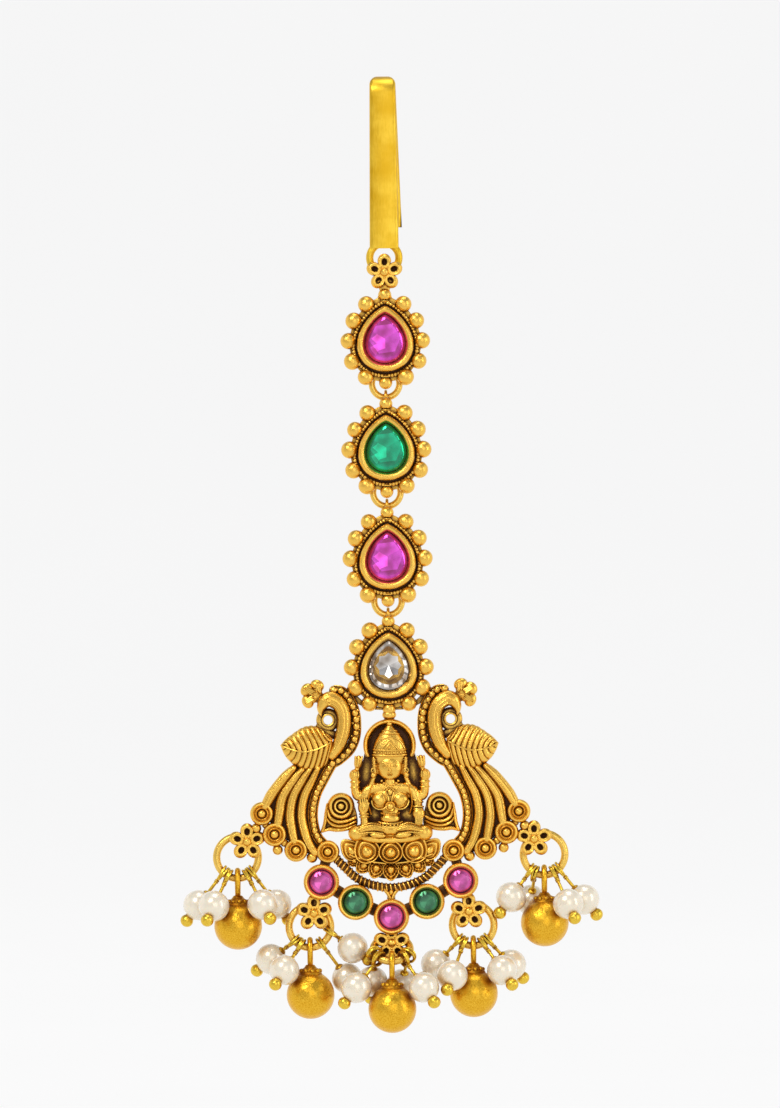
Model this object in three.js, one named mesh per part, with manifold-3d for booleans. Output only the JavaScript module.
// A forehead jewel (maang tikka) in antique gold: a hair hook, three pear-shaped gem links and an
// openwork pendant with two peacocks, a seated figure on a lotus, six gems and five bead clusters.
// Millimetres, +Z up, front towards -Y. The origin is the inside of the hook's bend, where it hangs.
// Each casting is drawn with its flat back at y = 0 and its relief towards -Y.
import * as THREE from "three";
import { mergeVertices } from "three/addons/utils/BufferGeometryUtils.js";
import Module from "manifold-3d";

const wasm = await Module();
wasm.setup();

// Driving dimensions
const hook = { width: 3.3, taper: 0.1, thickness: 1, bend: 1.1, front: 18.6, rear: 16, sideLean: 0.025 };
const eye = { radius: 1.75, wire: 0.45, drop: 20.9 };
const setBack = hook.bend + hook.thickness / 2; // the chain hangs this far in front of the bend's centre
const links = { first: -30.6, pitch: 13.05, count: 3 };
const pear = {
  halfWidth: 4.4, halfHeight: 5.25, plate: 0.7, pinch: 0.25,
  beads: 12, beadRadius: 0.86, beadDepth: -0.55,
  rimHalfWidth: 3.4, rimHalfHeight: 3.9, rimPinch: 0.8, rimFront: -2, wall: 0.95,
};
const stoneGap = 0.1;
const chainRing = { radius: 1.65, wire: 0.4, plane: 0.75, drop: 5.36 };
const dropRing = { radius: 2.5, wire: 0.45, plane: 0.8 };
const bail = { radius: 0.74, wire: 0.2 };
const flower = { reach: 2.1, waist: 1.2, petals: 5, plate: 1.05, boss: 0.5 };
const bezel = { radius: 2.15, seat: 1.55, plate: 0.7, front: -1.8, sides: 10 };
const ball = { radius: 2.87, drop: 5.7, loopHalfHeight: 1.5, loopHalfDepth: 1, loopWire: 0.24, loopDrop: 0.55 };
const pearl = { radius: 1.85, tip: 0.78, tipGap: 0.5, eye: 0.9, eyeWire: 0.15, eyeDrop: 0.12, pin: 0.17 };

const gold = { color: 0xc9962c, roughness: 0.35, metalness: 1 };
const finishes = {
  antique: gold,
  satin: { ...gold, color: 0xe0ab2a, roughness: 0.42 },
  pearl: { color: 0xe6dcc8, roughness: 0.25, metalness: 0 },
  ruby: { color: 0xc0359f, roughness: 0.1, metalness: 0 },
  emerald: { color: 0x0a8f63, roughness: 0.1, metalness: 0 },
  clear: { color: 0xd8d4cc, roughness: 0.05, metalness: 0 },
};

const across = new THREE.Vector3(1, 0, 0);
const down = new THREE.Vector3(0, 0, -1);
const vector = (x, y, z) => new THREE.Vector3(x, y, z);

// Joining

function solidOf(geometry) {
  const bare = geometry.index ? geometry.toNonIndexed() : geometry.clone();
  for (const name of Object.keys(bare.attributes)) {
    if (name !== "position") bare.deleteAttribute(name);
  }
  const merged = mergeVertices(bare, 1e-4);
  return new wasm.Manifold(
    new wasm.Mesh({
      numProp: 3,
      vertProperties: merged.attributes.position.array,
      triVerts: new Uint32Array(merged.index.array),
    }),
  );
}

function solder(pieces) {
  const joined = pieces.map(solidOf).reduce((whole, piece) => whole.add(piece)).getMesh();
  const geometry = new THREE.BufferGeometry();
  geometry.setAttribute("position", new THREE.BufferAttribute(joined.vertProperties, 3));
  geometry.setIndex(new THREE.BufferAttribute(joined.triVerts, 1));
  return geometry;
}

function mirrored(geometry) {
  const other = (geometry.index ? geometry.toNonIndexed() : geometry.clone()).scale(-1, 1, 1);
  const points = other.attributes.position;
  const corner = [vector(0, 0, 0), vector(0, 0, 0)];
  for (let i = 0; i < points.count; i += 3) {
    corner[0].fromBufferAttribute(points, i + 1);
    corner[1].fromBufferAttribute(points, i + 2);
    points.setXYZ(i + 1, ...corner[1].toArray());
    points.setXYZ(i + 2, ...corner[0].toArray());
  }
  return other;
}

const bothSides = (pieces) => pieces.flatMap((piece) => [piece, mirrored(piece)]);

// Basic forms. Outlines are drawn in x and z, and plates grow from their back towards the front.

function plate(shape, thickness, back = 0, bevel = 0) {
  const depth = thickness - 2 * bevel;
  const options = { depth, bevelEnabled: bevel > 0, bevelThickness: bevel, bevelSize: bevel, bevelSegments: 1 };
  const geometry = new THREE.ExtrudeGeometry(shape, { ...options, bevelOffset: -bevel, curveSegments: 8 });
  return geometry.translate(0, 0, bevel).rotateX(Math.PI / 2).translate(0, back, 0);
}

const bead = (radius, x, y, z) =>
  new THREE.IcosahedronGeometry(radius * 1.1, 0).rotateX(0.55).translate(x, y, z);

const egg = (x, y, z, halfX, halfY, halfZ, around = 6, high = 4) =>
  new THREE.SphereGeometry(1, around, high).scale(halfX, halfZ, halfY).rotateX(Math.PI / 2).translate(x, y, z);

const disc = (radius, thickness, x, z, sides = 10) =>
  new THREE.CylinderGeometry(radius, radius, thickness, sides).translate(x, -thickness / 2, z);

function torus(centre, axis, radius, wire, around = 12, section = 6) {
  const turn = new THREE.Quaternion().setFromUnitVectors(vector(0, 0, 1), axis.clone().normalize());
  const geometry = new THREE.TorusGeometry(radius, wire, section, around).applyQuaternion(turn);
  return geometry.translate(centre.x, centre.y, centre.z);
}

function rod(from, to, radius, sides = 5) {
  const along = to.clone().sub(from);
  const turn = new THREE.Quaternion().setFromUnitVectors(vector(0, 1, 0), along.clone().normalize());
  const middle = from.clone().add(to).multiplyScalar(0.5);
  const geometry = new THREE.CylinderGeometry(radius, radius, along.length(), sides);
  return geometry.applyQuaternion(turn).translate(middle.x, middle.y, middle.z);
}

function ropeAlong(points, halfWidth, halfDepth, depth, steps = 8) {
  const section = new THREE.Shape().absellipse(0, 0, halfDepth, halfWidth, 0, Math.PI * 2);
  const route = new THREE.CatmullRomCurve3(points.map(([x, z]) => vector(x, depth, z)));
  const corners = new THREE.Shape(section.getPoints(3).slice(0, -1));
  return new THREE.ExtrudeGeometry(corners, { steps, extrudePath: route, bevelEnabled: false });
}

const smoothOutline = (points, count) => {
  const loop = new THREE.CatmullRomCurve3(points.map(([x, z]) => vector(x, z, 0)), true);
  return new THREE.Shape(loop.getPoints(count).slice(0, -1).map((p) => new THREE.Vector2(p.x, p.y)));
};

// Pear outline: pinch 0 is an ellipse, and a larger one draws the sides in towards the tip.
function pearPoints(halfWidth, halfHeight, pinch, count) {
  const raw = Array.from({ length: count }, (_, i) => (i * 2 * Math.PI) / count);
  const side = (t) => Math.sin(t) * Math.abs(Math.sin(t / 2)) ** pinch;
  const widest = Math.max(...raw.map(side));
  return raw.map((t) => new THREE.Vector2((halfWidth * side(t)) / widest, halfHeight * Math.cos(t)));
}

const pearShape = (halfWidth, halfHeight, pinch, count = 18) =>
  new THREE.Shape(pearPoints(halfWidth, halfHeight, pinch, count).reverse());

// A gem setting: a bead-edged back plate with a rimmed seat, its centre at the height given.
function pearSetting(height) {
  const line = pearPoints(pear.halfWidth, pear.halfHeight, pear.pinch, 60).map((p) => vector(p.x, 0, p.y));
  const places = new THREE.CatmullRomCurve3(line, true).getSpacedPoints(pear.beads).slice(0, -1);
  const rim = pearShape(pear.rimHalfWidth, pear.rimHalfHeight, pear.rimPinch);
  rim.holes.push(pearShape(pear.rimHalfWidth - pear.wall, pear.rimHalfHeight - pear.wall, pear.rimPinch));
  const pieces = [
    plate(pearShape(pear.halfWidth, pear.halfHeight, pear.pinch), pear.plate),
    plate(rim, -pear.rimFront - 0.2, -0.2),
    ...places.map((p) => bead(pear.beadRadius, p.x, pear.beadDepth, p.z)),
  ];
  return pieces.map((piece) => piece.translate(0, 0, height));
}

function pearStone(height) {
  const halfWidth = pear.rimHalfWidth - pear.wall - stoneGap;
  const halfHeight = pear.rimHalfHeight - pear.wall - stoneGap;
  const shape = pearShape(halfWidth, halfHeight, pear.rimPinch, 16);
  return plate(shape, -pear.rimFront - pear.plate - stoneGap - 0.2, -pear.plate - stoneGap, 0.3)
    .translate(0, 0, height);
}

// A loop on the back of a casting, round the wire of a ring at the point given
const bailAt = (point, wireDirection) => torus(point, wireDirection, bail.radius, bail.wire, 9, 3);

// Star flower: a lobed plate with a boss in the middle, one petal up
function starFlower(x, z) {
  const count = flower.petals * 3;
  const outline = Array.from({ length: count }, (_, i) => {
    const turn = (i * 2 * Math.PI) / count;
    const r = flower.waist + (flower.reach - flower.waist) * Math.abs(Math.cos((turn * flower.petals) / 2));
    return new THREE.Vector2(x - r * Math.sin(turn), z + r * Math.cos(turn));
  });
  return [plate(new THREE.Shape(outline), flower.plate), bead(flower.boss, x, -flower.plate, z)];
}

// Hair hook: a strip folded over at the top, with an eye at the foot of its front leg
function hairHook() {
  const outer = hook.bend + hook.thickness;
  const profile = new THREE.Shape();
  profile.moveTo(outer, -hook.front - hook.bend);
  profile.lineTo(outer, -hook.bend);
  profile.absarc(0, -hook.bend, outer, 0, Math.PI, false);
  profile.lineTo(-outer, -hook.bend - hook.rear);
  profile.lineTo(-hook.bend - 0.1, -hook.bend - hook.rear - 1);
  profile.lineTo(-hook.bend, -hook.bend);
  profile.absarc(0, -hook.bend, hook.bend, Math.PI, 0, true);
  profile.lineTo(hook.bend, -hook.front - hook.bend);
  const strip = new THREE.ExtrudeGeometry(profile, { depth: hook.width, bevelEnabled: false, curveSegments: 8 });
  strip.translate(0, 0, -hook.width / 2).rotateX(Math.PI / 2).rotateZ(-Math.PI / 2);
  const points = strip.attributes.position;
  for (let i = 0; i < points.count; i += 1) {
    const below = -points.getZ(i) / hook.front;
    const lean = points.getY(i) > 0 ? hook.sideLean * Math.max(0, -points.getZ(i)) : 0;
    points.setX(i, points.getX(i) * (1 - hook.taper * (0.5 - below)) + lean);
  }
  return solder([strip, torus(vector(0, -setBack, -eye.drop), vector(0, 1, 0), eye.radius, eye.wire, 14, 6)]);
}

// Chain links. The first carries the star flower that hangs in the hook's eye.
function gemLink(index, height) {
  const pieces = pearSetting(height);
  const lowerRing = height - chainRing.drop;
  pieces.push(bailAt(vector(0, chainRing.plane, lowerRing + chainRing.radius), across));
  if (index === 0) {
    const flowerHeight = -eye.drop - eye.radius;
    pieces.push(...starFlower(0, flowerHeight), bailAt(vector(0, chainRing.plane, flowerHeight), across));
    pieces.push(plate(new THREE.Shape().absellipse(0, flowerHeight - 2, 0.9, 1.2, 0, Math.PI * 2), 0.75));
  } else {
    const upperWire = height + links.pitch - chainRing.drop - chainRing.radius;
    pieces.push(bailAt(vector(0, chainRing.plane, upperWire), across));
  }
  return solder(pieces);
}

// Pendant. Its datum is a little below the middle of its pear setting, and side rows are for +x.
const pendantDrop = links.first - links.count * links.pitch - 0.38;
const pearRise = 0.38;
const feathers = [
  { x: 11.6, z: -12.2, bendX: 13.75, bendZ: -13.6, endX: 14.9, endZ: -16, width: 1.3 },
  { x: 10.4, z: -12.3, bendX: 12.9, bendZ: -14.95, endX: 13.4, endZ: -18.3, width: 1.35 },
  { x: 9.3, z: -12.2, bendX: 11.95, bendZ: -15.95, endX: 11.6, endZ: -20.2, width: 1.35 },
  { x: 8.1, z: -12, bendX: 12.05, bendZ: -16.85, endX: 9, endZ: -22, width: 1.25 },
  { x: 6.9, z: -11.4, bendX: 10, bendZ: -16.45, endX: 8.7, endZ: -20.6, width: 0.95 },
];
const rosettes = [
  { x: 15.4, z: -17.2, radius: 1.4 },
  { x: 13.9, z: -19.75, radius: 1.45 },
  { x: 11.4, z: -21.65, radius: 1.4 },
  { x: 7.54, z: -21.9, radius: 1.4 },
];
const spacers = [
  { x: 15.85, z: -19.1, radius: 0.6 },
  { x: 13.5, z: -21.6, radius: 0.6 },
  { x: 9.44, z: -22.5, radius: 0.65 },
];
const roundGems = [
  { x: -8.34, z: -25.5, finish: "ruby" },
  { x: -4.27, z: -27.96, finish: "emerald" },
  { x: 0, z: -29.75, finish: "ruby" },
  { x: 4.27, z: -27.96, finish: "emerald" },
  { x: 8.34, z: -25.5, finish: "ruby" },
];
const sideFlowers = [
  { x: 17.2, z: -20.6, ringX: 18.4, ringZ: -22.5 },
  { x: 9.28, z: -29.2, ringX: 9.8, ringZ: -30.9 },
];
const wing = [[13, -9.15], [10.9, -7.7], [8.7, -6.75], [6.7, -8.3], [6.75, -10.9], [9.6, -12.4], [11.9, -11.6]];
const neck = [[6.5, -10.2], [5.6, -8.4], [5.05, -6.4], [5.5, -4.4], [6.9, -3.5], [8, -4.2], [8.1, -5.3]];
const collar = [[6.4, -2.4], [4.85, -3.1], [3.95, -4.8], [3.7, -6.4], [4.1, -8.1], [5.1, -9.65], [6.7, -10.9]];
const garland = { halfSpan: 6.6, top: -22.6, low: -26.35, halfWidth: 0.55 };

function peacock() {
  const crest = [[8.6, -1.8], [9.95, -2.35], [9.8, -4]];
  return [
    plate(smoothOutline(wing, 14), 1.6),
    ropeAlong(neck, 0.6, 0.85, -0.85, 7),
    ropeAlong(collar, 0.5, 0.6, -0.65, 6),
    plate(new THREE.Shape().absellipse(8.9, -3, 1.3, 1.2, 0, Math.PI * 2), 0.9),
    ...crest.map(([x, z]) => bead(0.72, x, -0.6, z)),
  ];
}

function tail() {
  const bands = feathers.map((row) => {
    const curve = new THREE.QuadraticBezierCurve(
      new THREE.Vector2(row.x, row.z),
      new THREE.Vector2(row.bendX, row.bendZ),
      new THREE.Vector2(row.endX, row.endZ),
    );
    const points = curve.getPoints(4).map((p) => [p.x, p.y]);
    return ropeAlong(points, row.width / 2, 0.7, -0.72, 4);
  });
  const backing = [[8.3, -11.9], [11.4, -12.2], [14.6, -16.2], [13.6, -18.6], [11.5, -20.6], [9, -21.3], [9.6, -17]];
  return [plate(smoothOutline(backing, 16), 0.85), ...bands];
}

function sideRelief() {
  return [
    ...peacock(),
    ...tail(),
    ...rosettes.flatMap((r) => [disc(r.radius, 1.5, r.x, r.z, 8), bead(0.45, r.x, -1.5, r.z)]),
    ...spacers.map((s) => bead(s.radius, s.x, -0.55, s.z)),
    ...sideFlowers.flatMap((f) => starFlower(f.x, f.z)),
    disc(1.65, 1.45, 5.9, -16.4),
    plate(smoothOutline([[7.4, -16.4], [7.7, -18.2], [8.25, -20], [6.6, -19.5], [4.6, -18.9], [4.4, -16.6]], 14), 1.1),
  ];
}

// Seated figure on a lotus, with a halo, raised rear arms and a backing that joins them
function figure() {
  const backing = [[0, -6.6], [3, -9], [4.1, -11.5], [4.4, -14.5], [5, -17], [5.3, -20.6], [0, -21.5]];
  const outline = [...backing, ...backing.slice(1, -1).reverse().map(([x, z]) => [-x, z])];
  const seatPetals = [
    { x: 0, z: -22, halfX: 1.5, halfZ: 1.5 },
    { x: 2.7, z: -21.6, halfX: 1.6, halfZ: 1.3 },
    { x: 5, z: -21.5, halfX: 1.25, halfZ: 1.1 },
    { x: 0, z: -24.4, halfX: 1.3, halfZ: 1.1 },
    { x: 2.4, z: -23.9, halfX: 1.3, halfZ: 1 },
  ];
  const petals = seatPetals.flatMap((p) => {
    const petal = egg(p.x, -0.8, p.z, p.halfX, 1, p.halfZ);
    return p.x ? [petal, mirrored(petal)] : [petal];
  });
  const arms = bothSides([
    bead(0.75, 3.7, -0.9, -11.1),
    bead(0.7, 4.15, -0.9, -12.9),
    ropeAlong([[3.1, -15], [4.1, -15], [4.25, -13.2]], 0.5, 0.6, -0.8, 4),
    ropeAlong([[2.5, -14.7], [3.2, -16], [3.25, -18.4]], 0.6, 0.75, -1.1, 4),
    bead(0.75, 3.05, -1.4, -16.6),
    egg(3.1, -1, -19.9, 1.6, 1.05, 0.95),
  ]);
  return [
    plate(smoothOutline(outline, 24), 0.8),
    torus(vector(0, -0.85, -9.5), vector(0, 1, 0), 2.85, 0.4, 12, 5),
    egg(0, -1.5, -9.6, 2.05, 1.2, 2.7),
    egg(0, -1.7, -11.9, 1.5, 1.25, 1.95),
    egg(0, -1.2, -15.4, 2.6, 1, 1.6),
    ...bothSides([bead(1, 1.15, -1.9, -15.9)]),
    egg(0, -1.2, -18, 1.6, 1.05, 2),
    egg(0, -0.85, -20.1, 2.9, 1.25, 0.85),
    ...petals,
    ...arms,
    plate(new THREE.Shape().absellipse(0, -22.4, 5.4, 2.2, 0, Math.PI * 2), 0.9),
  ];
}

function roundSetting(x, z) {
  const seat = -bezel.plate;
  const profile = [
    [0, 0], [bezel.radius, 0], [bezel.radius, bezel.front], [bezel.seat, bezel.front], [bezel.seat, seat], [0, seat],
  ];
  const turned = new THREE.LatheGeometry(profile.map(([r, y]) => new THREE.Vector2(r, -y)), bezel.sides);
  return turned.rotateX(Math.PI).translate(x, 0, z);
}

function roundStone(x, z) {
  const radius = bezel.seat - stoneGap;
  const back = -bezel.plate - stoneGap;
  const profile = [[0, back], [radius, back], [radius, back - 0.5], [radius - 0.5, back - 0.85], [0, back - 0.85]];
  const turned = new THREE.LatheGeometry(profile.map(([r, y]) => new THREE.Vector2(r, -y)), bezel.sides);
  return turned.rotateX(Math.PI).translate(x, 0, z);
}

// Rings that carry the drops. A ring's foot is its lowest point, and angles are measured from it.
const frontRing = { lean: 0.87, radius: 2.2, topY: 0.6, topZ: -32.2 };

function verticalRing(x, z) {
  return { centre: vector(x, dropRing.plane, z), radius: dropRing.radius, foot: down.clone() };
}

function leaningRing() {
  const foot = vector(0, -Math.sin(frontRing.lean), -Math.cos(frontRing.lean));
  const centre = vector(0, frontRing.topY, frontRing.topZ).addScaledVector(foot, frontRing.radius);
  return { centre, radius: frontRing.radius, foot };
}

const rings = [
  verticalRing(-sideFlowers[0].ringX, sideFlowers[0].ringZ),
  verticalRing(-sideFlowers[1].ringX, sideFlowers[1].ringZ),
  leaningRing(),
  verticalRing(sideFlowers[1].ringX, sideFlowers[1].ringZ),
  verticalRing(sideFlowers[0].ringX, sideFlowers[0].ringZ),
];

function onRing(ring, degrees) {
  const turn = THREE.MathUtils.degToRad(degrees);
  const out = across.clone().multiplyScalar(Math.sin(turn)).addScaledVector(ring.foot, Math.cos(turn));
  const along = across.clone().multiplyScalar(Math.cos(turn)).addScaledVector(ring.foot, -Math.sin(turn));
  return { point: ring.centre.clone().addScaledVector(out, ring.radius), along };
}

// The loops on the pendant's back that hold the rings
function ringBails() {
  const sides = sideFlowers.flatMap((f) => {
    const out = vector(f.x - f.ringX, 0, f.z - f.ringZ).normalize();
    const point = vector(f.ringX, dropRing.plane, f.ringZ).addScaledVector(out, dropRing.radius);
    return bothSides([bailAt(point, vector(out.z, 0, -out.x))]);
  });
  return [...sides, bailAt(vector(0, frontRing.topY, frontRing.topZ), across)];
}

function pendantCasting() {
  const wire = chainRing.drop + chainRing.radius;
  const low = garland.low;
  const swag = [
    [-garland.halfSpan, garland.top], [-4.6, -25.1], [-2.4, -26.05], [0, low],
    [2.4, -26.05], [4.6, -25.1], [garland.halfSpan, garland.top],
  ];
  const bridges = roundGems.slice(0, 4).map((gem, i) => {
    const next = roundGems[i + 1];
    return rod(vector(gem.x, -0.36, gem.z), vector(next.x, -0.36, next.z), 0.34, 6);
  });
  return solder([
    ...pearSetting(pearRise),
    bailAt(vector(0, chainRing.plane, pearRise + links.pitch - wire), across),
    ...bothSides(sideRelief()),
    ...figure(),
    ropeAlong(swag, garland.halfWidth, 0.6, -0.62, 10),
    ...bothSides([rod(vector(2.2, -0.6, -3.6), vector(4.2, -0.6, -3.3), 0.5, 6)]),
    rod(vector(0, -0.6, -4.6), vector(0, -0.6, -6.8), 0.55, 6),
    rod(vector(0, -0.36, low + 1.5), vector(0, -0.36, -28.5), 0.34, 6),
    ...bothSides([rod(vector(7.6, -0.36, -22), vector(8.2, -0.36, -25), 0.34, 6)]),
    ...bridges,
    ...roundGems.map((gem) => roundSetting(gem.x, gem.z)),
    ...ringBails(),
  ]);
}

// A gold ball with a cap and an upright loop, hung at the foot of its ring
function goldDrop(ring) {
  const { point } = onRing(ring, 0);
  const centre = point.clone().addScaledVector(down, ball.drop);
  const loop = new THREE.TorusGeometry(1, ball.loopWire, 5, 10)
    .scale(ball.loopHalfDepth, ball.loopHalfHeight, 1)
    .rotateX(Math.PI / 2)
    .rotateZ(Math.PI / 2)
    .translate(point.x, point.y, point.z - ball.loopDrop);
  const belly = Array.from({ length: 7 }, (_, i) => {
    const turn = (i * Math.PI) / 8;
    return new THREE.Vector2(ball.radius * Math.sin(turn), -ball.radius * Math.cos(turn));
  });
  const cap = [new THREE.Vector2(1.1, 2.65), new THREE.Vector2(0.5, 3.6), new THREE.Vector2(0, 3.6)];
  const turned = new THREE.LatheGeometry([...belly, ...cap], 10).rotateX(Math.PI / 2);
  return solder([turned.translate(centre.x, centre.y, centre.z), loop]);
}

// Pearls on headpins. x, y and z place a pearl from its ball's centre, grip is the eye's place on the ring.
const clusters = [
  [
    { grip: -28, x: -2.85, y: -3.1, z: 2.5 },
    { grip: -44, x: -4.75, y: 0.5, z: 2.5 },
    { grip: 28, x: 3, y: -3, z: 2.6 },
    { grip: 44, x: 4.6, y: 1, z: 2.5 },
  ],
  [
    { grip: -28, x: -3.1, y: -2.3, z: 3.1 },
    { grip: -48, x: -4.7, y: 1.3, z: 4.3 },
    { grip: 76, x: 5.1, y: -0.4, z: 5.6 },
    { grip: 34, x: 4.4, y: 1.7, z: 1.9 },
  ],
  [
    { grip: -44, x: -4.3, y: -0.3, z: 2.6 },
    { grip: -70, x: -2.4, y: 3.1, z: 3.2 },
    { grip: 40, x: 3.8, y: -1.7, z: 2.6 },
    { grip: 62, x: 1.2, y: 3.9, z: 2.8 },
  ],
  [
    { grip: -28, x: -2.6, y: -3.5, z: 2.3 },
    { grip: -44, x: -4.5, y: 0.9, z: 3.5 },
    { grip: 28, x: 3.4, y: -2.2, z: 2.8 },
    { grip: 44, x: 4.5, y: 1.7, z: 3.3 },
  ],
  [
    { grip: -40, x: -4, y: -0.7, z: 3.1 },
    { grip: -26, x: -1.6, y: 4, z: 2.6 },
    { grip: 28, x: 2.8, y: -3.4, z: 2.3 },
    { grip: 44, x: 4.75, y: 0.2, z: 2.7 },
  ],
];

function pearlDrop(ring, row) {
  const { point, along } = onRing(ring, row.grip);
  const middle = onRing(ring, 0).point.addScaledVector(down, ball.drop);
  const centre = middle.add(vector(row.x, row.y, row.z));
  const away = centre.clone().sub(point).normalize();
  const normal = along.clone().addScaledVector(away, -along.dot(away)).normalize();
  const loop = point.clone().addScaledVector(away, pearl.eyeDrop);
  const pinEnd = pearl.eye - loop.distanceTo(centre);
  const tipMiddle = pearl.radius + pearl.tipGap;
  const pearlBand = [35, 70, 110, 145].map((angle) => THREE.MathUtils.degToRad(angle));
  const tipBand = [120, 60].map((angle) => THREE.MathUtils.degToRad(angle));
  const profile = [
    [0, pinEnd],
    [pearl.pin, pinEnd],
    [pearl.pin, -pearl.radius],
    ...pearlBand.map((turn) => [pearl.radius * Math.sin(turn), -pearl.radius * Math.cos(turn)]),
    ...tipBand.map((turn) => [pearl.tip * Math.sin(turn), tipMiddle + pearl.tip * Math.cos(turn)]),
    [0, tipMiddle + pearl.tip],
  ];
  const turned = new THREE.LatheGeometry(profile.map(([r, t]) => new THREE.Vector2(r, t)), 7);
  turned.applyQuaternion(new THREE.Quaternion().setFromUnitVectors(vector(0, 1, 0), away));
  return solder([
    turned.translate(centre.x, centre.y, centre.z),
    torus(loop, normal, pearl.eye, pearl.eyeWire, 9, 3),
  ]);
}

// Assembly

const jewel = new THREE.Group();
const chain = new THREE.Group();
const pendant = new THREE.Group();
chain.position.y = -setBack - chainRing.plane;
pendant.position.set(0, chain.position.y, pendantDrop);
jewel.add(chain, pendant);

function add(group, name, finish, geometry) {
  const mesh = new THREE.Mesh(geometry, new THREE.MeshStandardMaterial(finishes[finish]));
  mesh.name = name;
  group.add(mesh);
}

add(jewel, "hair_hook", "satin", hairHook());
["ruby", "emerald", "ruby"].forEach((finish, index) => {
  const height = links.first - index * links.pitch;
  add(chain, `gem_link_${index + 1}`, "antique", gemLink(index, height));
  add(chain, `link_stone_${index + 1}`, finish, pearStone(height));
  const centre = vector(0, chainRing.plane, height - chainRing.drop);
  const ring = torus(centre, vector(0, 1, 0), chainRing.radius, chainRing.wire, 12, 5);
  add(chain, `chain_ring_${index + 1}`, "antique", ring);
});

add(pendant, "pendant_casting", "antique", pendantCasting());
add(pendant, "pendant_stone", "clear", pearStone(pearRise));
roundGems.forEach((gem, index) => {
  add(pendant, `round_stone_${index + 1}`, gem.finish, roundStone(gem.x, gem.z));
});
rings.forEach((ring, index) => {
  const axis = across.clone().cross(ring.foot);
  add(pendant, `drop_ring_${index + 1}`, "satin", torus(ring.centre, axis, ring.radius, dropRing.wire, 14, 5));
  add(pendant, `gold_drop_${index + 1}`, "satin", goldDrop(ring));
  clusters[index].forEach((row, place) => {
    add(pendant, `pearl_drop_${index + 1}_${place + 1}`, "pearl", pearlDrop(ring, row));
  });
});

export default jewel;
